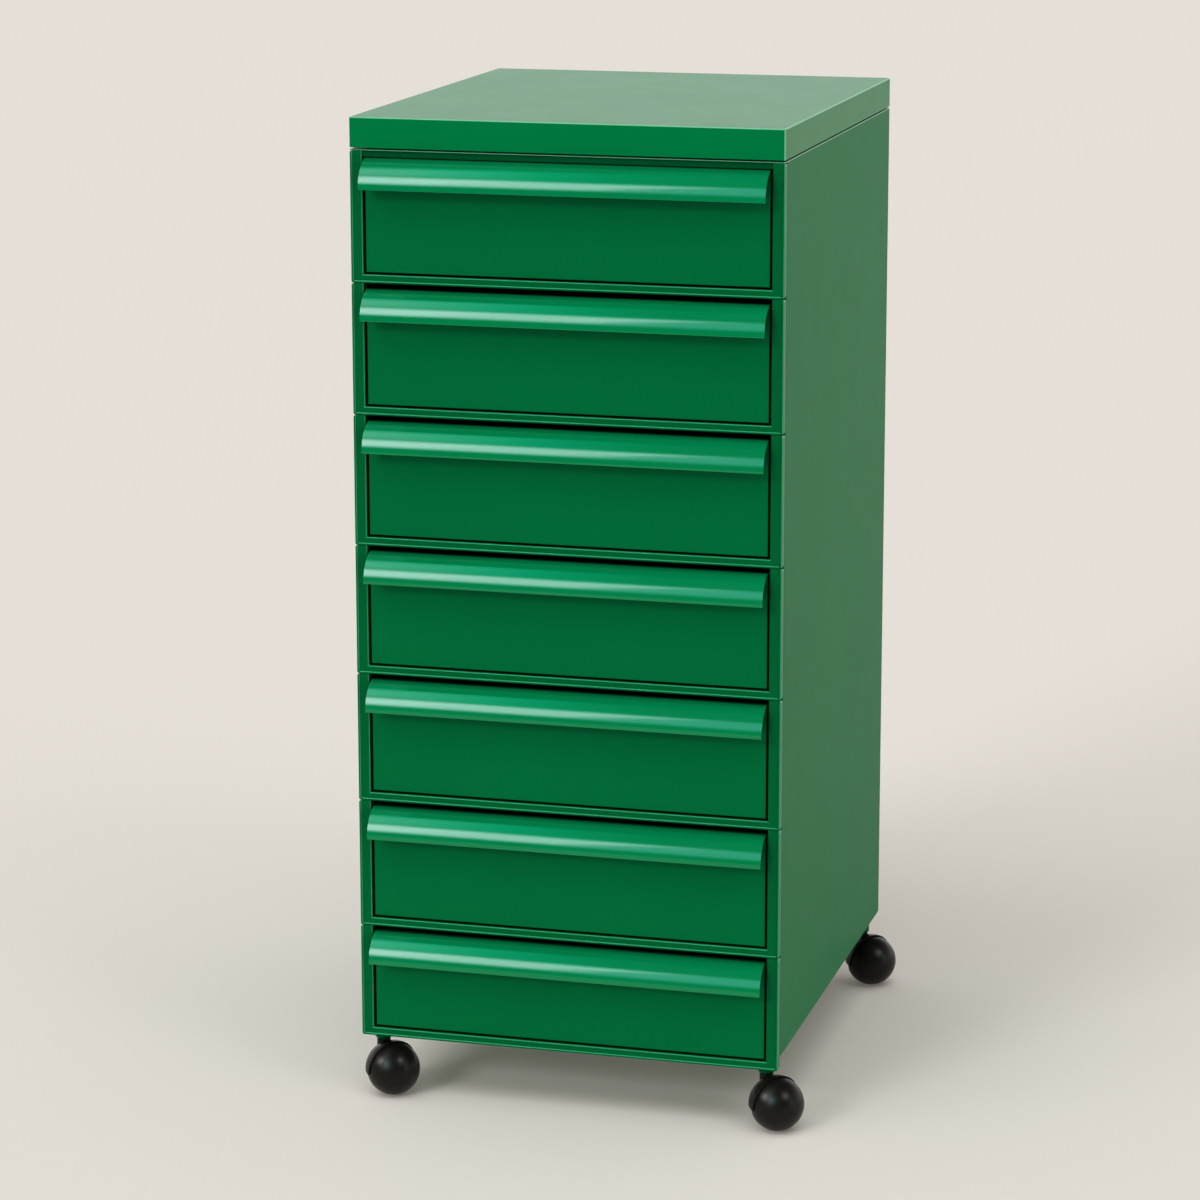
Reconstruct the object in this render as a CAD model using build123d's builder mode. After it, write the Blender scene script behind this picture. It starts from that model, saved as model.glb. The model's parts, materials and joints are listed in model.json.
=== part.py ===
from build123d import *
from math import asin, cos, degrees, radians, sin, sqrt
import os

os.makedirs("parts", exist_ok=True)

# Rolling file cabinet, in millimetres. X is to the right, Y to the back and Z up.
# The origin lies on the floor, under the middle of the whole object.

# Carcass
width = 420.0                # across the side panels, for A4 files
depth = 489.0                # front of the bay frames to the back of the side panels
base_height = 62.0           # floor to the lowest bay frame
tall_bays = 6
tall_bay = 127.0             # height of an upper bay
low_bay = 113.0              # height of the bottom bay
panel_sheet = 1.0            # side and back panels
frame_sheet = 1.2            # bay frames, drawer fronts, top and base
side_lift = 12.5             # side panels end this far above the lowest bay frame
panel_bend = 1.6             # outer bend radius of the side panels
side_front_flange = 8.0      # width of a side panel's flanges
side_back_flange = 11.0

# Top cover
cover_height = 29.0
cover_flange = 42.0          # inturned flange under the cover
cover_edge = 1.4             # rounding of the cover's outer edges
shadow_gap = 1.5             # dark line between the cover and the carcass
top_set_back = 0.9           # carcass top behind the front of the frames
top_edge = 1.0               # rounding of the carcass top's front edge
top_lip = 5.8                # set-back band that the carcass top shows over drawer 1
spacer_diameter = 20.0
spacer_inset = 24.0          # spacer centre from the cover's edges

# Bay frames
jamb_width = 12.0            # at the sides, seen from the front
sill_height = 8.4            # at the bottom, seen from the front
rim_round = 1.4              # radius of the rolled rim along the outer edges
rim_rise = 0.7               # rim in front of the frame's face
outer_return = 8.0           # how far the frame's outer edge reaches back
inner_return = 8.0           # fold at the opening, from the drawer fronts back
fold_round = 1.2
corner_round = 3.0           # corners of a frame, seen from the front
seam = 0.4                   # line between a frame and a side panel

# Drawer fronts and lip handles
front_set_back = 2.0         # drawer fronts behind the frame's face
front_side_gap = 2.3
front_bottom_gap = 2.0
front_depth = 4.0            # depth of the folded front
front_edge = 0.8
handle_gap = 5.5             # bay top to the handle's root, in all bays but the top one
top_handle_gap = 8.0         # the same in the top bay, under the carcass top's lip
handle_reach = 22.0          # in front of the panel
handle_drop = 28.0           # height of the curved lip
handle_sheet = 1.6
handle_edge = 0.5

# Drawer trays
tray_side_gap = 5.0          # jamb opening to the tray's side
tray_sheet = 1.0
tray_floor_rise = 16.0       # bay bottom to the tray's underside
tray_top_gap = 12.0          # bay top to the tray's rim
tray_rear_gap = 8.0          # tray to the back panel
tray_corner = 2.0
rim_width = 3.0              # side rim, folded outwards

# Runners and glides
channel_height = 20.0
channel_drop = 2.0           # rim's underside to the channel's top
channel_lip_gap = 1.0        # channel's edge to the jamb opening
channel_sheet = 1.2
channel_bend = 1.5
travel = 370.0               # how far a drawer pulls out
slide_gap = 0.2              # clearance between sliding faces
glide_side_gap = 0.4         # glide block to tray or channel, sideways
glide_start = 12.0           # front of the frames to the front glide
front_glide_head = 12.0      # length of the block that carries the rim
front_glide_tongue = 13.0    # length of the part inside the channel
rear_glide_length = 30.0

# Base pan and caster sockets
base_rise = 13.0             # lowest bay frame to the underside of the base pan
base_upstand = 15.0
socket_diameter = 16.4
socket_chamfer = 2.2
socket_skirt_gap = 0.2       # front sockets to the base pan's skirt
stem_side_inset = 15.7
back_stem_inset = 13.0

# Casters
ball_diameter = 52.5
ball_flat = 8.5              # ball centre to the flat face of the wheel
hood_skin = 1.1              # hood over the wheel, without the gap
hood_gap = 0.4               # round the wheel
flat_gap = 0.5               # between the wheel's flat face and the hood
hood_lip = 3.0               # hood ends this far behind the ball's centre
hood_cut = 3.5               # hood ends this far below the axle's centre line
caster_offset = 16.5         # stem to ball centre
axle_tilt = 10.0             # degrees below the horizontal
axle_diameter = 5.0
axle_in_hood = 12.0
axle_in_wheel = 22.0
axle_end_gap = 0.3
stem_diameter = 11.0
stem_in_hood = 15.0
stem_chamfer = 1.0
neck_diameter = 13.5
neck_in_hood = 20.0
swivel_gap = 0.3             # hood to socket, and stem's end to base pan
running_gap = 0.05           # radial, where something turns
press_gap = 0.02             # radial, where something is pressed in

# Heading of the wheels, in degrees from straight ahead: the back left one is turned towards
# the cabinet's left side and the other three as far towards its right side
caster_heading = 52.0

# Screws
back_screws = 4              # on each side of the back panel
screw_diameter = 4.0
screw_head = 8.0
screw_head_height = 2.2
screw_head_round = 1.2
screw_length = 8.0
screw_clearance = 0.2        # radial, in the sheets
screw_end_inset = 40.0       # from the ends of the side panels

# Levels and places worked out from the sizes above
ball_radius = ball_diameter / 2
hood_radius = ball_radius + hood_gap + hood_skin
lip_overhang = handle_reach - rim_rise - front_set_back
hood_overhang = hood_radius - back_stem_inset - caster_offset * cos(radians(caster_heading))
back_overhang = max(screw_head_height, hood_overhang)
front_y = -(lip_overhang + depth + back_overhang) / 2 + lip_overhang
back_y = front_y + depth
face_y = front_y + rim_rise
panel_y = face_y + front_set_back
half_width = width / 2
opening_half = half_width - jamb_width
flange_x = opening_half + frame_sheet
fold_end_y = panel_y + inner_return
side_front_y = front_y + outer_return + seam
rim_angle = degrees(asin(1 - rim_rise / rim_round))
stack_top = base_height + tall_bays * tall_bay + low_bay
carcass_top_z = stack_top - frame_sheet
cover_bottom = stack_top + shadow_gap
side_bottom = base_height + side_lift
base_z = base_height + base_rise
base_top = base_z + frame_sheet
panel_inner = half_width - panel_sheet
back_panel_y = back_y - 2 * panel_sheet

front_half = opening_half - front_side_gap
tray_half = opening_half - tray_side_gap
tray_y = panel_y + front_depth
tray_end_y = back_panel_y - tray_rear_gap
rim_half = tray_half + rim_width
channel_lip = opening_half - channel_lip_gap
channel_inner = panel_inner - channel_sheet
glide_y = front_y + glide_start
channel_y = glide_y + front_glide_head
tongue_end_y = channel_y + front_glide_tongue
rear_glide_y = tongue_end_y + travel + slide_gap
channel_end_y = rear_glide_y + rear_glide_length + slide_gap

socket_radius = socket_diameter / 2
neck_top = ball_radius + sqrt(hood_radius**2 - (caster_offset - socket_radius) ** 2)
socket_bottom = neck_top + swivel_gap
stem_x = half_width - stem_side_inset
front_stem_y = fold_end_y + frame_sheet + socket_skirt_gap + socket_radius
back_stem_y = back_y - back_stem_inset
caster_places = [
    ("front_left", -1, front_stem_y, caster_heading),
    ("front_right", 1, front_stem_y, caster_heading),
    ("back_left", -1, back_stem_y, -caster_heading),
    ("back_right", 1, back_stem_y, caster_heading),
]

screw_x = half_width - side_back_flange / 2
screw_low_z = side_bottom + screw_end_inset
screw_pitch = (carcass_top_z - screw_end_inset - screw_low_z) / (back_screws - 1)
back_screw_places = [
    (side * screw_x, screw_low_z + row * screw_pitch)
    for side in (-1, 1)
    for row in range(back_screws)
]
cover_screw_places = [
    (side * (half_width - spacer_inset), y)
    for side in (-1, 1)
    for y in (front_y + spacer_inset, (front_y + back_y) / 2, back_y - spacer_inset)
]


def facing(y):
    """Upright plane at y that faces the front: a positive extrusion comes forward."""
    return Plane.XZ.offset(-y)


def write(sub_part, name):
    """Labels a finished sub-part and writes its file."""
    sub_part.part.label = name
    export_step(sub_part.part, f"parts/{name}.step")


# Bays, from the top one down: number, bottom and top
bay_levels = []
bay_top = stack_top
for bay_number in range(1, tall_bays + 2):
    bay_bottom = bay_top - (tall_bay if bay_number <= tall_bays else low_bay)
    bay_levels.append((bay_number, bay_bottom, bay_top))
    bay_top = bay_bottom


# Bay frames
def mitre_plane(bottom, side):
    """Upright plane through a lower corner's mitre; its positive side is the jamb's."""
    corner = (side * half_width, 0, bottom)
    return Plane(origin=corner, x_dir=(0, 1, 0), z_dir=(side * sill_height, 0, jamb_width))


def frame_section(plane, face_width):
    """Section of a folded frame: the plane's X runs inwards from its outer edge, its Y backwards."""
    fold_end = fold_end_y - front_y
    face_back = rim_rise + frame_sheet
    with BuildSketch(plane) as section:
        with BuildLine():
            Line((0, outer_return), (0, rim_round))
            rim = CenterArc((rim_round, rim_round), rim_round, 180, 180 - rim_angle)
            Polyline(
                rim @ 1,
                (face_width, rim_rise),
                (face_width, fold_end),
                (face_width - frame_sheet, fold_end),
                (face_width - frame_sheet, face_back),
                (frame_sheet, face_back),
                (frame_sheet, outer_return),
                (0, outer_return),
            )
        make_face()
    return section.sketch


def frame_jambs(bottom, top):
    """Two folded jambs with rolled rims, cut along the mitres at their lower ends."""
    section = frame_section(Plane(origin=(-half_width, front_y, bottom)), jamb_width)
    with BuildPart() as jambs:
        extrude(section, amount=top - bottom)
        split(bisect_by=mitre_plane(bottom, -1), keep=Keep.TOP)
        mirror(about=Plane.YZ)
    return jambs.part


def frame_sill(bottom):
    """The folded sill with its rolled rim, between the mitres."""
    upwards = Plane(origin=(0, front_y, bottom), x_dir=(0, 0, 1), z_dir=(-1, 0, 0))
    section = frame_section(upwards, sill_height)
    with BuildPart() as sill:
        extrude(section, amount=half_width, both=True)
        for side in (-1, 1):
            split(bisect_by=mitre_plane(bottom, side), keep=Keep.BOTTOM)
    return sill.part


def opening_edges(frame, bottom):
    """Front edges of a frame's opening: two upright ones and the one along the sill."""
    front_edges = frame.edges().filter_by_position(Axis.Y, face_y, face_y)
    sill_edge = front_edges.filter_by_position(Axis.Z, bottom + sill_height, bottom + sill_height)
    left_edge = front_edges.filter_by_position(Axis.X, -opening_half, -opening_half)
    right_edge = front_edges.filter_by_position(Axis.X, opening_half, opening_half)
    return sill_edge + left_edge + right_edge


for number, bottom, top in bay_levels:
    frame_top = min(top, carcass_top_z)
    jambs = frame_jambs(bottom, frame_top)
    sill = frame_sill(bottom)
    with BuildPart() as bay_frame:
        add(jambs)
        add(sill)
        fillet(opening_edges(bay_frame, bottom), radius=fold_round)
        with BuildSketch(facing(front_y)):
            with Locations((0, (bottom + frame_top) / 2)):
                Rectangle(width, frame_top - bottom)
                RectangleRounded(width, frame_top - bottom, corner_round, mode=Mode.SUBTRACT)
        extrude(amount=-outer_return, mode=Mode.SUBTRACT)
    write(bay_frame, f"bay_frame_{number}")


# Side panels, each a folded sheet with a flange at the front and one at the back
with BuildPart() as side_panel_left:
    with BuildSketch(Plane.XY.offset(side_bottom)):
        with BuildLine():
            FilletPolyline(
                (side_front_flange - half_width, side_front_y),
                (-half_width, side_front_y),
                (-half_width, back_y),
                (side_back_flange - half_width, back_y),
                radius=panel_bend,
            )
            offset(amount=panel_sheet, side=Side.RIGHT)
        make_face()
    extrude(amount=carcass_top_z - side_bottom)
    with BuildSketch(facing(back_y)):
        with Locations(back_screw_places):
            Circle(screw_diameter / 2 + screw_clearance)
    extrude(amount=panel_sheet, mode=Mode.SUBTRACT)
write(side_panel_left, "side_panel_left")

with BuildPart() as side_panel_right:
    mirror(side_panel_left.part, about=Plane.YZ)
write(side_panel_right, "side_panel_right")

# Back panel, behind the side panels' flanges
with BuildPart() as back_panel:
    with BuildSketch(facing(back_panel_y)):
        with Locations((0, (base_z + carcass_top_z) / 2)):
            Rectangle(2 * (panel_inner - panel_bend), carcass_top_z - base_z)
        with Locations(back_screw_places):
            Circle(screw_diameter / 2 + screw_clearance, mode=Mode.SUBTRACT)
    extrude(amount=-panel_sheet)
write(back_panel, "back_panel")

with BuildPart() as panel_screws:
    with BuildSketch(facing(back_y)):
        with Locations(back_screw_places):
            Circle(screw_head / 2)
    extrude(amount=-screw_head_height)
    fillet(panel_screws.edges().group_by(Axis.Y)[-1], radius=screw_head_round)
    with BuildSketch(facing(back_y)):
        with Locations(back_screw_places):
            Circle(screw_diameter / 2)
    extrude(amount=screw_length)
write(panel_screws, "panel_screws")

# Carcass top, with its lip over the top drawer
with BuildPart() as carcass_top:
    with BuildSketch(Plane.XY.offset(carcass_top_z)):
        with Locations((0, (front_y + top_set_back + back_y) / 2)):
            Rectangle(width, depth - top_set_back)
    extrude(amount=frame_sheet)
    fillet(carcass_top.edges().filter_by(Axis.Z), radius=cover_edge)
    front_edges = carcass_top.edges().filter_by(Axis.X).group_by(Axis.Y)[0]
    fillet(front_edges.sort_by(Axis.Z)[-1], radius=top_edge)
    with BuildSketch(facing(panel_y)):
        with Locations((0, carcass_top_z - top_lip / 2)):
            Rectangle(2 * opening_half, top_lip)
    extrude(amount=-frame_sheet)
    with BuildSketch(Plane.XY.offset(carcass_top_z)):
        with Locations(cover_screw_places):
            Circle(screw_diameter / 2 + screw_clearance)
    extrude(amount=frame_sheet, mode=Mode.SUBTRACT)
write(carcass_top, "carcass_top")

# Top cover, a folded tray that opens downwards
with BuildPart() as top_cover:
    with BuildSketch(Plane.XY.offset(cover_bottom)):
        with Locations((0, (front_y + back_y) / 2)):
            Rectangle(width, depth)
    extrude(amount=cover_height)
    fillet(top_cover.edges().filter_by(Axis.Z), radius=cover_edge)
    fillet(top_cover.edges().group_by(Axis.Z)[-1], radius=cover_edge)
    with BuildSketch(Plane.XY.offset(cover_bottom + frame_sheet)):
        with Locations((0, (front_y + back_y) / 2)):
            Rectangle(width - 2 * frame_sheet, depth - 2 * frame_sheet)
    extrude(amount=cover_height - 2 * frame_sheet, mode=Mode.SUBTRACT)
    with BuildSketch(Plane.XY.offset(cover_bottom)):
        with Locations((0, (front_y + back_y) / 2)):
            Rectangle(width - 2 * cover_flange, depth - 2 * cover_flange)
        with Locations(cover_screw_places):
            Circle(screw_diameter / 2 + screw_clearance)
    extrude(amount=frame_sheet, mode=Mode.SUBTRACT)
write(top_cover, "top_cover")

with BuildPart() as cover_spacers:
    with BuildSketch(Plane.XY.offset(stack_top)):
        with Locations(cover_screw_places):
            Circle(spacer_diameter / 2)
            Circle(screw_diameter / 2 + screw_clearance, mode=Mode.SUBTRACT)
    extrude(amount=shadow_gap)
write(cover_spacers, "cover_spacers")

with BuildPart() as cover_screws:
    with BuildSketch(Plane.XY.offset(carcass_top_z)):
        with Locations(cover_screw_places):
            Circle(screw_head / 2)
    extrude(amount=-screw_head_height)
    fillet(cover_screws.edges().group_by(Axis.Z)[0], radius=screw_head_round)
    with BuildSketch(Plane.XY.offset(carcass_top_z)):
        with Locations(cover_screw_places):
            Circle(screw_diameter / 2)
    extrude(amount=screw_length)
write(cover_screws, "cover_screws")

# Base pan, with upstands at the sides and back and a skirt behind the lowest sill
with BuildPart() as base_pan:
    with BuildSketch(Plane.XY.offset(base_z)):
        with Locations((0, (fold_end_y + back_panel_y) / 2)):
            Rectangle(2 * panel_inner, back_panel_y - fold_end_y)
    extrude(amount=frame_sheet + base_upstand)
    with BuildSketch(Plane.XY.offset(base_top)):
        with Locations((0, (fold_end_y + back_panel_y - frame_sheet) / 2)):
            Rectangle(2 * (panel_inner - frame_sheet), back_panel_y - frame_sheet - fold_end_y)
    extrude(amount=base_upstand, mode=Mode.SUBTRACT)
    with BuildSketch(facing(fold_end_y)):
        skirt_low = base_height + sill_height - frame_sheet
        with Locations((0, (skirt_low + base_z) / 2)):
            Rectangle(2 * flange_x, base_z - skirt_low)
    extrude(amount=-frame_sheet)
write(base_pan, "base_pan")

# Caster sockets, four tubes under the base pan
socket_places = [(side * stem_x, stem_y) for place, side, stem_y, heading in caster_places]
with BuildPart() as caster_sockets:
    with BuildSketch(Plane.XY.offset(socket_bottom)):
        with Locations(socket_places):
            Circle(socket_radius)
    extrude(amount=base_z - socket_bottom)
    chamfer(caster_sockets.edges().group_by(Axis.Z)[0], length=socket_chamfer)
    with BuildSketch(Plane.XY.offset(socket_bottom)):
        with Locations(socket_places):
            Circle(stem_diameter / 2 + running_gap)
    extrude(amount=base_z - socket_bottom, mode=Mode.SUBTRACT)
write(caster_sockets, "caster_sockets")


# Runner channels and front glides, one on each side of each bay
def rim_level(top):
    """Underside of the tray's rim in the bay with this top."""
    return top - tray_top_gap - tray_sheet


with BuildPart() as runners:
    for number, bottom, top in bay_levels:
        channel_top = rim_level(top) - channel_drop
        channel_bottom = channel_top - channel_height
        with BuildSketch(facing(channel_y)):
            with BuildLine():
                FilletPolyline(
                    (-channel_lip, channel_top),
                    (-panel_inner, channel_top),
                    (-panel_inner, channel_bottom),
                    (-channel_lip, channel_bottom),
                    radius=channel_bend,
                )
                offset(amount=channel_sheet, side=Side.LEFT)
            make_face()
        extrude(amount=channel_y - channel_end_y)
        with BuildSketch(facing(channel_end_y)):
            with Locations((-(panel_inner + channel_lip) / 2, channel_top - channel_height / 2)):
                Rectangle(panel_inner - channel_lip, channel_height)
        extrude(amount=-channel_sheet)
    mirror(about=Plane.YZ)
write(runners, "runners")

with BuildPart() as front_glides:
    for number, bottom, top in bay_levels:
        block_top = rim_level(top) - slide_gap
        channel_middle = rim_level(top) - channel_drop - channel_height / 2
        block_bottom = channel_middle - channel_height / 2
        head_inner = tray_half + glide_side_gap
        with BuildSketch(facing(glide_y)):
            with Locations((-(panel_inner + head_inner) / 2, (block_top + block_bottom) / 2)):
                Rectangle(panel_inner - head_inner, block_top - block_bottom)
        extrude(amount=-front_glide_head)
        with BuildSketch(facing(channel_y)):
            with Locations((-(channel_inner + channel_lip) / 2, channel_middle)):
                tongue_height = channel_height - 2 * (channel_sheet + slide_gap)
                Rectangle(channel_inner - channel_lip - slide_gap, tongue_height)
        extrude(amount=-front_glide_tongue)
    mirror(about=Plane.YZ)
write(front_glides, "front_glides")


# Drawers
def drawer_tray(bottom, top, front_low, front_high):
    """Folded box with a larger front wall and a rim along each side."""
    floor_z = bottom + tray_floor_rise
    rim_top = rim_level(top) + tray_sheet
    middle_y = (tray_y + tray_end_y) / 2
    with BuildPart() as tray:
        with BuildSketch(Plane.XY.offset(floor_z)):
            with Locations((0, middle_y)):
                Rectangle(2 * tray_half, tray_end_y - tray_y)
        extrude(amount=rim_top - floor_z)
        fillet(tray.edges().filter_by(Axis.Z), radius=tray_corner)
        fillet(tray.edges().group_by(Axis.Z)[0], radius=tray_corner)
        offset(amount=-tray_sheet, openings=tray.faces().sort_by(Axis.Z)[-1])
        rim_inner = tray_half - tray_sheet
        with BuildSketch(Plane.XY.offset(rim_level(top))):
            with Locations(
                (-(rim_half + rim_inner) / 2, middle_y),
                ((rim_half + rim_inner) / 2, middle_y),
            ):
                Rectangle(rim_half - rim_inner, tray_end_y - tray_y - 2 * tray_corner)
        extrude(amount=tray_sheet)
        with BuildSketch(facing(tray_y)):
            with Locations((0, (front_low + front_high) / 2)):
                Rectangle(2 * front_half, front_high - front_low)
        extrude(amount=-tray_sheet)
    return tray


def drawer_front(front_low, front_high):
    """Shallow folded pan, closed by the tray's front wall."""
    with BuildPart() as front:
        with BuildSketch(facing(panel_y)):
            with Locations((0, (front_low + front_high) / 2)):
                Rectangle(2 * front_half, front_high - front_low)
        extrude(amount=-front_depth)
        fillet(front.edges().group_by(Axis.Y)[0], radius=front_edge)
        inner_y = panel_y + frame_sheet
        with BuildSketch(facing(inner_y)):
            with Locations((0, (front_low + front_high) / 2)):
                Rectangle(
                    2 * (front_half - frame_sheet), front_high - front_low - 2 * frame_sheet
                )
        extrude(amount=inner_y - tray_y, mode=Mode.SUBTRACT)
    return front


def drawer_handle(root_z):
    """Lip over the full width: a flange on the front, then an arc that ends upright."""
    radius = (handle_reach**2 + handle_drop**2) / (2 * handle_reach)
    inner_radius = radius - handle_sheet
    center = (panel_y - handle_reach + radius, root_z - handle_drop)
    under_z = root_z - handle_sheet
    inner_root_y = center[0] - sqrt(inner_radius**2 - (handle_drop - handle_sheet) ** 2)
    flange_y = tray_y + tray_sheet
    with BuildPart() as handle:
        with BuildSketch(Plane.YZ):
            with BuildLine():
                RadiusArc((center[0] - radius, center[1]), (panel_y, root_z), radius)
                Line((panel_y, root_z), (flange_y, root_z))
                Line((flange_y, root_z), (flange_y, under_z))
                Line((flange_y, under_z), (inner_root_y, under_z))
                RadiusArc((inner_root_y, under_z), (center[0] - inner_radius, center[1]), -inner_radius)
                Line((center[0] - inner_radius, center[1]), (center[0] - radius, center[1]))
            make_face()
        extrude(amount=front_half, both=True)
        lip_edges = handle.edges().filter_by(Axis.X).group_by(Axis.Z)[0]
        fillet(lip_edges, radius=handle_edge)
    return handle


def drawer_glides(top):
    """Two rear blocks on the tray's sides, inside the channels."""
    channel_middle = rim_level(top) - channel_drop - channel_height / 2
    block_outer = channel_inner - glide_side_gap
    with BuildPart() as glides:
        with BuildSketch(facing(rear_glide_y)):
            with Locations((-(tray_half + block_outer) / 2, channel_middle)):
                block_height = channel_height - 2 * (channel_sheet + slide_gap)
                Rectangle(block_outer - tray_half, block_height)
        extrude(amount=-rear_glide_length)
        mirror(about=Plane.YZ)
    return glides


for number, bottom, top in bay_levels:
    root_z = top - (top_handle_gap if number == 1 else handle_gap)
    front_low = bottom + sill_height + front_bottom_gap
    front_high = root_z - handle_sheet
    write(drawer_tray(bottom, top, front_low, front_high), f"drawer_{number}_tray")
    write(drawer_front(front_low, front_high), f"drawer_{number}_front")
    write(drawer_handle(root_z), f"drawer_{number}_handle")
    write(drawer_glides(top), f"drawer_{number}_glides")


# Casters
def axle_plane(stem, heading):
    """Plane through the ball's centre: its X runs along the axle, its Y is nearly upright."""
    ahead = Vector(sin(radians(heading)), -cos(radians(heading)), 0)
    tilt = radians(axle_tilt)
    along = ahead * cos(tilt) - Vector(0, 0, sin(tilt))
    upward = ahead * sin(tilt) + Vector(0, 0, cos(tilt))
    center = stem + ahead * caster_offset + Vector(0, 0, ball_radius)
    return Plane(origin=center, x_dir=along, z_dir=along.cross(upward))


def on_sphere(radius, along):
    """Distance from the axle of a sphere's point that lies so far along it."""
    return sqrt(radius**2 - along**2)


def caster_wheel(plane):
    """Ball with a flat face towards the hood and a blind bore."""
    bore = axle_diameter / 2 + running_gap
    bore_end = axle_in_wheel - ball_flat + axle_end_gap
    with BuildPart() as wheel:
        with BuildSketch(plane):
            with BuildLine():
                Line((-ball_flat, bore), (-ball_flat, on_sphere(ball_radius, ball_flat)))
                RadiusArc((-ball_flat, on_sphere(ball_radius, ball_flat)), (ball_radius, 0), ball_radius)
                Line((ball_radius, 0), (bore_end, 0))
                Line((bore_end, 0), (bore_end, bore))
                Line((bore_end, bore), (-ball_flat, bore))
            make_face()
        revolve(axis=Axis(plane.origin, plane.x_dir))
    return wheel


def caster_hood(plane, stem):
    """Cap of a sphere with a lip over the wheel, open below, and a neck round the stem."""
    inner_radius = ball_radius + hood_gap
    face = ball_flat + flat_gap
    stem_plane = Plane(origin=stem + Vector(0, 0, neck_top))
    with BuildPart() as hood:
        with BuildSketch(plane):
            with BuildLine():
                Line((-hood_radius, 0), (-face, 0))
                Line((-face, 0), (-face, on_sphere(inner_radius, face)))
                RadiusArc(
                    (-face, on_sphere(inner_radius, face)),
                    (-hood_lip, on_sphere(inner_radius, hood_lip)),
                    inner_radius,
                )
                Line(
                    (-hood_lip, on_sphere(inner_radius, hood_lip)),
                    (-hood_lip, on_sphere(hood_radius, hood_lip)),
                )
                RadiusArc(
                    (-hood_lip, on_sphere(hood_radius, hood_lip)), (-hood_radius, 0), -hood_radius
                )
            make_face()
        revolve(axis=Axis(plane.origin, plane.x_dir))
        split(bisect_by=Plane(plane.origin, z_dir=plane.y_dir).offset(-hood_cut), keep=Keep.TOP)
        with BuildSketch(stem_plane):
            Circle(neck_diameter / 2)
        extrude(amount=-neck_in_hood)
        with BuildSketch(stem_plane):
            Circle(stem_diameter / 2 + press_gap)
        extrude(amount=-stem_in_hood, mode=Mode.SUBTRACT)
        with BuildSketch(Plane(plane.origin, z_dir=plane.x_dir).offset(-face)):
            Circle(axle_diameter / 2 + press_gap)
        extrude(amount=-axle_in_hood - axle_end_gap, mode=Mode.SUBTRACT)
    return hood


def caster_pins(plane, stem):
    """Stem and axle, both pressed into the hood."""
    with BuildPart() as pins:
        with BuildSketch(Plane(origin=stem + Vector(0, 0, neck_top - stem_in_hood))):
            Circle(stem_diameter / 2)
        extrude(amount=base_z - swivel_gap - neck_top + stem_in_hood)
        chamfer(pins.edges().group_by(Axis.Z)[-1], length=stem_chamfer)
        axle_start = ball_flat + flat_gap + axle_in_hood
        with BuildSketch(Plane(plane.origin, z_dir=plane.x_dir).offset(-axle_start)):
            Circle(axle_diameter / 2)
        extrude(amount=axle_start - ball_flat + axle_in_wheel)
    return pins


for place, side, stem_y, heading in caster_places:
    stem = Vector(side * stem_x, stem_y)
    plane = axle_plane(stem, heading)
    write(caster_hood(plane, stem), f"caster_{place}_hood")
    write(caster_pins(plane, stem), f"caster_{place}_pins")
    write(caster_wheel(plane), f"caster_{place}_wheel")
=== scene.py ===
"""Rolling drawer cabinet in green stove enamel, on a pale studio floor."""
import json
import math

import bpy
from mathutils import Euler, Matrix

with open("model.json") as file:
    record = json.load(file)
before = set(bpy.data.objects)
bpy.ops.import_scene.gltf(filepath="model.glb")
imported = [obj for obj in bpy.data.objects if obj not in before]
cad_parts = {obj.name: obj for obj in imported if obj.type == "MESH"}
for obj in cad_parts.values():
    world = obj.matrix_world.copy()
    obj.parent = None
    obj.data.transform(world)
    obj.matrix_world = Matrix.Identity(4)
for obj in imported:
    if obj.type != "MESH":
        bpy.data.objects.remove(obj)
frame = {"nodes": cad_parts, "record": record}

scene = bpy.context.scene
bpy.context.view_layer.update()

# Camera: its place in metres, how far it looks down, leans and turns to the left, its lens in
# millimetres and its shift
CAMERA_PLACE = (1.002, -3.7832, 1.3705)
CAMERA_TILT = math.radians(12.22)
CAMERA_ROLL = math.radians(-0.08)
CAMERA_TURN = math.radians(15.27)
CAMERA_LENS = 119.58
CAMERA_SHIFT = -0.05

# Greens of the enamel as a screen shows them: the lighter and the darker tone of each finish. All of
# them are one enamel, and the tone of each kind of piece is partly painted light and shade: lighter on
# the handles, darker on the fronts, the frames and the top lip under the cover. Then the painted
# highlights of the frames' and the cover's folds, and the painted shade in hollows
FRONT_SHADED_GREENS = ((0, 104, 53), (0, 101, 51))
FRAME_SHADED_GREENS = ((0, 93, 44), (0, 89, 42))
SIDE_GREENS = ((0, 113, 62), (0, 109, 60))
COVER_GREENS = ((0, 119, 62), (0, 116, 62))
TOP_LIP_SHADED_GREENS = ((0, 84, 40), (0, 80, 38))
HANDLE_LIT_GREENS = ((0, 130, 76), (0, 127, 73))
# Painted highlights: the pale greens painted on the frames' and the cover's folds
FRAME_FOLD_HIGHLIGHT = (48, 150, 103)
COVER_FOLD_HIGHLIGHT = (120, 190, 150)
# Painted shade: the dark green painted into hollows
HOLLOW_SHADE_GREEN = (0, 56, 24)

# Other colours as a screen shows them
CASTER_BLACK = (18, 16, 13)
ZINC = (158, 163, 166)
TURNED_STEEL = (150, 151, 152)
NYLON = (26, 26, 26)
FLOOR = (231, 227, 221)
FLOOR_GLOW = (228, 217, 205)
BACKDROP = (228, 223, 215)

# How the enamel tints what it mirrors
SHEET_GLOSS = (0.03, 1.0, 0.5, 1.0)
HANDLE_GLOSS = (0.8, 1.0, 0.95, 1.0)

# The enamel's surface: the depth of its peel in metres, and how much its roughness goes down and up
PEEL_DEPTH = 0.00002
SMOOTHER = -0.008
ROUGHER = 0.012

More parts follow.
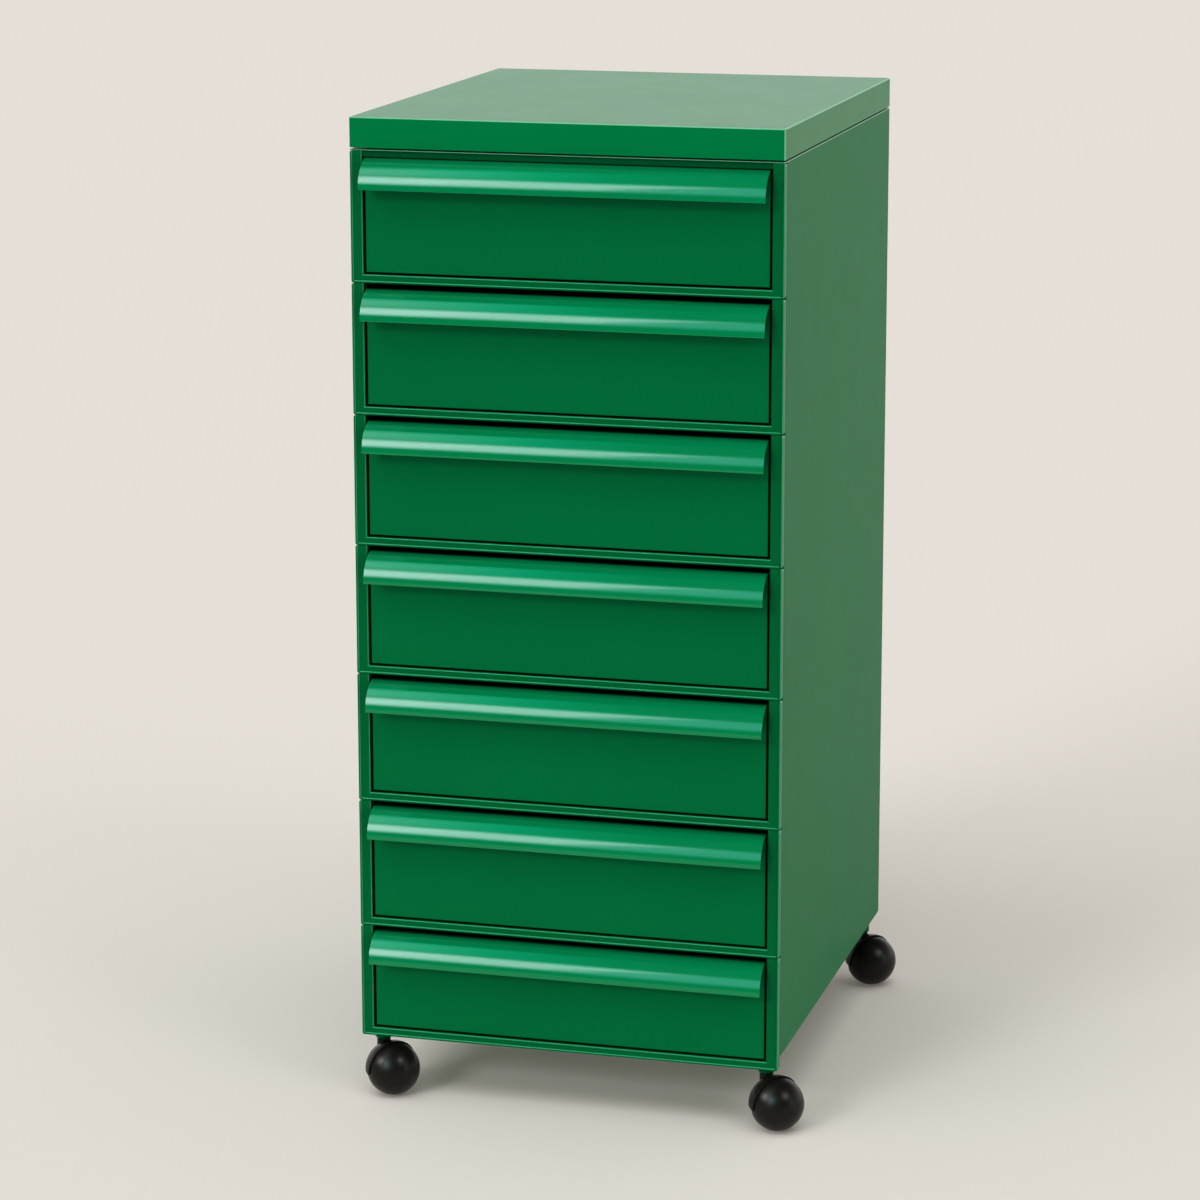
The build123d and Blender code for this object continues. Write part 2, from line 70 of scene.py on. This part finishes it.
# A fold's painted highlight starts at the first slant and is full at the second
FOLD_HIGHLIGHT_RANGE = (0.15, 0.7)

# Painted shade in hollows: how far in metres the ambient occlusion looks for other surfaces. A hollow
# is painted fully dark at the first openness, and the painted shade is gone at the second.
HOLLOW_SHADE_REACH = 0.03
HOLLOW_SHADE_RANGE = (0.25, 0.95)
HOLLOW_SHADE_SAMPLES = 8

# How much rougher bare metal is in its marks
MARK_ROUGHNESS = 0.15

# Floor: a disc, its radius in metres and its number of sides, and the share of its look that is an
# even glow where it is seen
FLOOR_RADIUS = 40.0
FLOOR_SIDES = 96
FLOOR_SHARE = 0.12

# Far square lamps, in degrees: side, how far each stands to the right of the upright plane through
# the object's middle; rise, its height above the horizon in that plane; its width and height; how
# wide its soft edges are across and up; and its turn. The next number is its brightness, and a
# gleam's colour ends its row. LAMPS give the light, GLEAMS are what the gloss mirrors. A lamp is
# seen only in its own half of the room, and LAMP_FACE is the thin soft edge of that half.
LAMPS = (
    (-22, 28, 20, 14, 4, 4, 0, 18.0),
    (-11, 60, 60, 34, 5, 5, 0, 1.5),
    (38, 62, 22, 22, 7, 7, 0, 2.4),
    (0, 84, 100, 100, 25, 25, 0, 1.15),
    (77, 22, 60, 16, 5, 5, 0, 4.4),
)
GLEAMS = (
    (-19.4, 31, 10, 36, 0.4, 14, 4, 11.0, (1.0, 0.95, 1.0, 1.0)),
    (-20.4, 31, 7, 36, 0.4, 14, 4, 4.5, (1.0, 0.9, 0.95, 1.0)),
    (-10, 31, 26, 42, 3, 14, 0, 4.8, (0.27, 0.95, 1.0, 1.0)),
    (-17.5, 66, 7.5, 60, 3.7, 26, 0, 5.5, (0.0, 1.0, 0.72, 1.0)),
    (-22, 62, 12, 48, 4, 20, 0, 4.6, (1.0, 0.95, 0.97, 1.0)),
    (-43, 50, 22, 22, 7, 7, 0, 34.0, (1.0, 0.98, 0.95, 1.0)),
    (39, 66, 22, 22, 7, 7, 0, 14.0, (1.0, 0.98, 0.95, 1.0)),
    (78, 5, 16, 60, 5, 5, 0, 3.3, (0.8, 1.0, 0.98, 1.0)),
)
LAMP_TINT = (1.0, 0.993, 0.985, 1.0)
LAMP_FACE = (0.0, 0.01)

# The even light of the room, the dim room that the gloss mirrors, and the pale backdrop in it: its
# brightness, and between which backward and upward parts of a direction it fades in
FILL_TINT = (1.0, 0.94, 0.88, 1.0)
FILL_LEVEL = 0.12
DARK_LEVEL = 0.05
BACKDROP_LEVEL = 1.38
BACKDROP_BACK = (-0.2, 0.5)
BACKDROP_UP = (0.75, 0.1)

RIGHT = (1.0, 0.0, 0.0)
FORWARD = (0.0, -1.0, 0.0)
BACK = (0.0, 1.0, 0.0)
UP = (0.0, 0.0, 1.0)


def linear(colour, factor=1.0):
    """Scene colour of a screen colour given as three numbers up to 255, times a factor."""
    parts = [c / 255 for c in colour]
    parts = [c / 12.92 if c <= 0.04045 else ((c + 0.055) / 1.055) ** 2.4 for c in parts]
    return tuple(c * factor for c in parts) + (1.0,)


def fill(tree, node, inputs):
    """Gives each named input of a node a fixed value or the output of another node."""
    for name, value in inputs.items():
        if isinstance(value, bpy.types.NodeSocket):
            tree.links.new(value, node.inputs[name])
        else:
            node.inputs[name].default_value = value


def add_node(tree, kind, settings=None, inputs=None):
    """A new shader node with its settings and inputs."""
    node = tree.nodes.new(kind)
    for name, value in (settings or {}).items():
        setattr(node, name, value)
    fill(tree, node, inputs or {})
    return node


def new_material(name, inputs):
    """An empty node material, its principled shader with some inputs set, and object coordinates."""
    material = bpy.data.materials.new(name)
    material.use_nodes = True
    tree = material.node_tree
    tree.nodes.clear()
    shader = add_node(tree, "ShaderNodeBsdfPrincipled", inputs=inputs)
    add_node(tree, "ShaderNodeOutputMaterial", inputs={"Surface": shader.outputs["BSDF"]})
    place = add_node(tree, "ShaderNodeTexCoord").outputs["Object"]
    return material, tree, shader, place


def stretched(tree, place, scale):
    """Coordinates scaled apart along the three axes."""
    return add_node(tree, "ShaderNodeMapping", inputs={
        "Vector": place, "Scale": scale}).outputs["Vector"]


def noise(tree, place, scale, detail=2.0):
    """A noise from about 0 to 1, with features about 1 / scale metres wide."""
    return add_node(tree, "ShaderNodeTexNoise", inputs={
        "Vector": place, "Scale": scale, "Detail": detail, "Roughness": 0.5}).outputs["Fac"]


def ranged(tree, value, low, high, start=0.3, end=0.7):
    """A value stretched from the range start to end onto the range low to high."""
    return add_node(tree, "ShaderNodeMapRange", inputs={
        "Value": value, "From Min": start, "From Max": end,
        "To Min": low, "To Max": high}).outputs["Result"]


def eased(tree, value, start, end):
    """A value that goes smoothly from 0 at start to 1 at end."""
    return add_node(tree, "ShaderNodeMapRange", {"interpolation_type": "SMOOTHSTEP"}, {
        "Value": value, "From Min": start, "From Max": end}).outputs["Result"]


def mixed(tree, value, first, second):
    """A colour between two, by a value from 0 to 1."""
    return add_node(tree, "ShaderNodeMix", {"data_type": "RGBA"}, {
        "Factor": value, "A": first, "B": second}).outputs["Result"]


def bumped(tree, value, distance, strength):
    """A surface normal raised by a value, at most by a distance in metres."""
    return add_node(tree, "ShaderNodeBump", inputs={
        "Height": value, "Distance": distance, "Strength": strength}).outputs["Normal"]


def combined(tree, operation, first, second):
    """Two values put together by one operation, where the second may be a fixed number."""
    return add_node(tree, "ShaderNodeMath", {"operation": operation}, {
        0: first, 1: second}).outputs["Value"]


def along(tree, direction, axis):
    """How far a direction points along an axis."""
    return add_node(tree, "ShaderNodeVectorMath", {"operation": "DOT_PRODUCT"}, {
        0: direction, 1: axis}).outputs["Value"]


def rays_of(tree, first, *others):
    """1 for a ray of one of the kinds named, 0 for any other."""
    kinds = add_node(tree, "ShaderNodeLightPath").outputs
    total = kinds[first]
    for other in others:
        total = combined(tree, "ADD", total, kinds[other])
    return total


def background(tree, colour, strength):
    """A shader of light from far away."""
    return add_node(tree, "ShaderNodeBackground", inputs={
        "Color": colour, "Strength": strength}).outputs["Background"]


def blended(tree, value, first, second):
    """A shader between two, by a value from 0 to 1."""
    return add_node(tree, "ShaderNodeMixShader", inputs={
        "Fac": value, 1: first, 2: second}).outputs["Shader"]


def together(tree, shaders):
    """Several lights at once."""
    total = shaders[0]
    for shader in shaders[1:]:
        total = add_node(tree, "ShaderNodeAddShader", inputs={0: total, 1: shader}).outputs["Shader"]
    return total


def fold_highlight_mask(tree):
    """Painted highlight mask: 1 on folds from the top to the front or right side and from front to
    right, 0 on flat faces.
    """
    facing = add_node(tree, "ShaderNodeTexCoord").outputs["Normal"]
    right = along(tree, facing, RIGHT)
    forward = along(tree, facing, FORWARD)
    outward = combined(tree, "ADD", right, forward)
    level_fold = combined(tree, "MULTIPLY", outward, along(tree, facing, UP))
    upright_fold = combined(tree, "MULTIPLY", right, forward)
    steeper = combined(tree, "MAXIMUM", level_fold, upright_fold)
    # Halfway round a fold the product is a half, and its double is 1
    slant = combined(tree, "MULTIPLY", steeper, 2.0)
    return eased(tree, slant, *FOLD_HIGHLIGHT_RANGE)


def hollow_shade_mask(tree):
    """Painted shade mask from ambient occlusion: 0 deep in a hollow, 1 on an open face."""
    light = add_node(tree, "ShaderNodeAmbientOcclusion", {"samples": HOLLOW_SHADE_SAMPLES}, {
        "Distance": HOLLOW_SHADE_REACH})
    return ranged(tree, light.outputs["AO"], 0.0, 1.0, *HOLLOW_SHADE_RANGE)


def enamel(name, greens, roughness, shine, tint=SHEET_GLOSS, fold_highlight=None, peel=0.25):
    """Stove enamel: a fine peel, an uneven gloss, painted shade in hollows and, given their green,
    painted highlights on folds.

    greens are its lighter and darker tone, shine is how strongly it mirrors, tint colours what it
    mirrors, and peel is how strongly its fine waves show.
    """
    material, tree, shader, place = new_material(name, {
        "IOR": 1.5, "Specular IOR Level": shine, "Specular Tint": tint})
    light, dark = greens
    clouds = ranged(tree, noise(tree, place, scale=6.0, detail=3.0), low=0.0, high=1.0)
    colour = mixed(tree, clouds, linear(dark), linear(light))
    # Painted highlight: folds that face up, forward or to the right are turned pale
    if fold_highlight:
        colour = mixed(tree, fold_highlight_mask(tree), colour, linear(fold_highlight))
    smears = noise(tree, place, scale=22.0, detail=4.0)
    waves = noise(tree, place, scale=420.0)
    fill(tree, shader, {
        # Painted shade: the colour turns to the dark hollow green where ambient occlusion finds
        # surfaces close by
        "Base Color": mixed(tree, hollow_shade_mask(tree), linear(HOLLOW_SHADE_GREEN), colour),
        "Roughness": ranged(tree, smears, low=roughness + SMOOTHER, high=roughness + ROUGHER),
        "Normal": bumped(tree, waves, distance=PEEL_DEPTH, strength=peel),
    })
    return material


def caster_plastic(name):
    """Moulded black plastic with a satin skin."""
    material, tree, shader, place = new_material(name, {"IOR": 1.45, "Specular IOR Level": 0.2})
    clouds = noise(tree, place, scale=60.0, detail=3.0)
    smears = noise(tree, place, scale=140.0, detail=4.0)
    grains = noise(tree, place, scale=1500.0)
    fill(tree, shader, {
        "Base Color": mixed(tree, clouds, linear(CASTER_BLACK, factor=0.75), linear(CASTER_BLACK)),
        "Roughness": ranged(tree, smears, low=0.32, high=0.38),
        "Normal": bumped(tree, grains, distance=0.00003, strength=0.3),
    })
    return material


def nylon_plastic(name):
    """Black nylon with a dull moulded skin."""
    material, tree, shader, place = new_material(name, {"IOR": 1.53})
    clouds = noise(tree, place, scale=90.0, detail=3.0)
    grains = noise(tree, place, scale=900.0)
    fill(tree, shader, {
        "Base Color": mixed(tree, clouds, linear(NYLON, factor=0.85), linear(NYLON)),
        "Roughness": ranged(tree, clouds, low=0.42, high=0.55),
        "Normal": bumped(tree, grains, distance=0.00004, strength=0.3),
    })
    return material


def metal(name, colour, roughness, grain):
    """Bare metal with fine marks drawn out along one axis."""
    material, tree, shader, place = new_material(name, {"Metallic": 1.0})
    marks = noise(tree, stretched(tree, place, grain), scale=400.0, detail=3.0)
    fill(tree, shader, {
        "Base Color": mixed(tree, marks, linear(colour, factor=0.7), linear(colour)),
        "Roughness": ranged(tree, marks, low=roughness, high=roughness + MARK_ROUGHNESS),
        "Normal": bumped(tree, marks, distance=0.00005, strength=0.4),
    })
    return material


def make_finishes():
    """Every finish of the cabinet, by the name of its piece, kind of piece or material slot."""
    return {
        # The greens of the fronts, frames and top lip are painted shade, and the handles' green is
        # painted light
        "front": enamel("enamel_front", FRONT_SHADED_GREENS, roughness=0.30, shine=0.3),
        "frame": enamel("enamel_frame", FRAME_SHADED_GREENS, roughness=0.30, shine=0.3, fold_highlight=FRAME_FOLD_HIGHLIGHT),
        "side": enamel("enamel_side", SIDE_GREENS, roughness=0.42, shine=0.06),
        "top_cover": enamel(
            "enamel_cover", COVER_GREENS, roughness=0.36, shine=0.2, fold_highlight=COVER_FOLD_HIGHLIGHT),
        "carcass_top": enamel(
            "enamel_top_lip", TOP_LIP_SHADED_GREENS, roughness=0.36, shine=0.2, fold_highlight=COVER_FOLD_HIGHLIGHT),
        "handle": enamel(
            "enamel_handle", HANDLE_LIT_GREENS, roughness=0.06, shine=0.3, tint=HANDLE_GLOSS, peel=0.02),
        "black_caster": caster_plastic("caster_plastic"),
        "steel": metal("turned_steel", TURNED_STEEL, roughness=0.22, grain=(1.0, 1.0, 0.05)),
        "galvanised": metal("zinc_sheet", ZINC, roughness=0.32, grain=(0.3, 0.05, 0.3)),
        "nylon": nylon_plastic("nylon"),
    }


def finish_key(node, slot):
    """Which finish a frame node gets, by its name and its material slot."""
    if slot != "green_paint":
        return slot
    if node in ("top_cover", "carcass_top"):
        return node
    if node.endswith("_handle"):
        return "handle"
    if node.startswith(("side_panel", "back_panel")):
        return "side"
    if node.startswith("bay_frame"):
        return "frame"
    return "front"


def paint_cabinet():
    """Gives each frame node its finish."""
    finishes = make_finishes()
    for part in frame["record"]["subparts"]:
        slots = frame["nodes"][part["node"]].data.materials
        slots.clear()
        slots.append(finishes[finish_key(part["node"], part["material_slot"])])


def floor_material():
    """A dull pale floor with a barely uneven tone and, where it is seen, a small even glow."""
    material, tree, shader, place = new_material("studio_floor", {
        "Roughness": 1.0, "Specular IOR Level": 0.0})
    clouds = noise(tree, place, scale=0.8)
    fill(tree, shader, {"Base Color": mixed(tree, clouds, linear(FLOOR, factor=0.985), linear(FLOOR))})
    seen = rays_of(tree, "Is Camera Ray", "Is Glossy Ray", "Is Transmission Ray")
    glow = add_node(tree, "ShaderNodeEmission", inputs={"Color": linear(FLOOR_GLOW), "Strength": 1.0})
    share = combined(tree, "MULTIPLY", seen, FLOOR_SHARE)
    blend = blended(tree, share, shader.outputs["BSDF"], glow.outputs["Emission"])
    fill(tree, tree.get_output_node("ALL"), {"Surface": blend})
    return material


def build_floor():
    """A wide round floor under the casters."""
    turns = [2 * math.pi * i / FLOOR_SIDES for i in range(FLOOR_SIDES)]
    ring = [(FLOOR_RADIUS * math.cos(t), FLOOR_RADIUS * math.sin(t), 0.0) for t in turns]
    mesh = bpy.data.meshes.new("studio_floor")
    mesh.from_pydata(ring, [], [list(range(FLOOR_SIDES))])
    mesh.materials.append(floor_material())
    floor = bpy.data.objects.new("studio_floor", mesh)
    scene.collection.objects.link(floor)


def build_camera():
    """The photograph's camera."""
    data = bpy.data.cameras.new("camera")
    data.lens = CAMERA_LENS
    data.shift_y = CAMERA_SHIFT
    camera = bpy.data.objects.new("camera", data)
    camera.location = CAMERA_PLACE
    turn = Euler((math.pi / 2 - CAMERA_TILT, 0.0, CAMERA_TURN)).to_matrix()
    roll = Euler((0.0, 0.0, CAMERA_ROLL)).to_matrix()
    camera.rotation_euler = (turn @ roll).to_euler()
    scene.collection.objects.link(camera)
    scene.camera = camera


def softbox(tree, direction, side, rise, width, height, side_edge, rise_edge, turn):
    """Where a far square lamp shines, 0 to 1, from its row in LAMPS or GLEAMS."""
    # The aim of a camera that looks at the lamp from the room's middle
    aim = Euler((math.radians(90 + rise), 0.0, math.pi)).to_matrix()
    aim = aim @ Euler((0.0, math.radians(side), 0.0)).to_matrix()
    aim = aim @ Euler((0.0, 0.0, math.radians(turn))).to_matrix()
    right, up, back = aim.col[0], aim.col[1], aim.col[2]
    depth = along(tree, direction, -back)
    light = eased(tree, depth, *LAMP_FACE)
    for axis, size, edge in ((right, width, side_edge), (up, height, rise_edge)):
        across = combined(tree, "DIVIDE", along(tree, direction, axis), depth)
        offset = add_node(tree, "ShaderNodeMath", {"operation": "ABSOLUTE"}, {0: across})
        outer = math.tan(math.radians(size / 2))
        inner = math.tan(math.radians(size / 2 - edge))
        inside = eased(tree, offset.outputs["Value"], outer, inner)
        light = combined(tree, "MULTIPLY", light, inside)
    return light


def far_lamp(tree, direction, shape, level, colour):
    """A shader of one far square lamp."""
    shine = combined(tree, "MULTIPLY", softbox(tree, direction, *shape), level)
    return background(tree, colour, shine)


def build_room():
    """The studio: far soft lamps as light, and a dim room with a pale backdrop for the gloss."""
    world = bpy.data.worlds.new("room")
    world.use_nodes = True
    scene.world = world
    tree = world.node_tree
    tree.nodes.clear()
    direction = add_node(tree, "ShaderNodeTexCoord").outputs["Generated"]
    light = [background(tree, FILL_TINT, FILL_LEVEL)]
    for *shape, level in LAMPS:
        light.append(far_lamp(tree, direction, shape, level, LAMP_TINT))
    behind = eased(tree, along(tree, direction, BACK), *BACKDROP_BACK)
    low_down = eased(tree, along(tree, direction, UP), *BACKDROP_UP)
    place = combined(tree, "MULTIPLY", behind, low_down)
    drop = combined(tree, "MULTIPLY", place, BACKDROP_LEVEL)
    image = [background(tree, LAMP_TINT, DARK_LEVEL), background(tree, LAMP_TINT, drop)]
    for *shape, level, colour in GLEAMS:
        image.append(far_lamp(tree, direction, shape, level, colour))
    mirrored = rays_of(tree, "Is Glossy Ray", "Is Transmission Ray")
    room = blended(tree, mirrored, together(tree, light), together(tree, image))
    seen = background(tree, linear(BACKDROP), 1.0)
    surface = blended(tree, rays_of(tree, "Is Camera Ray"), room, seen)
    add_node(tree, "ShaderNodeOutputWorld", inputs={"Surface": surface})


paint_cabinet()
build_floor()
build_camera()
build_room()

scene.view_settings.view_transform = "Standard"
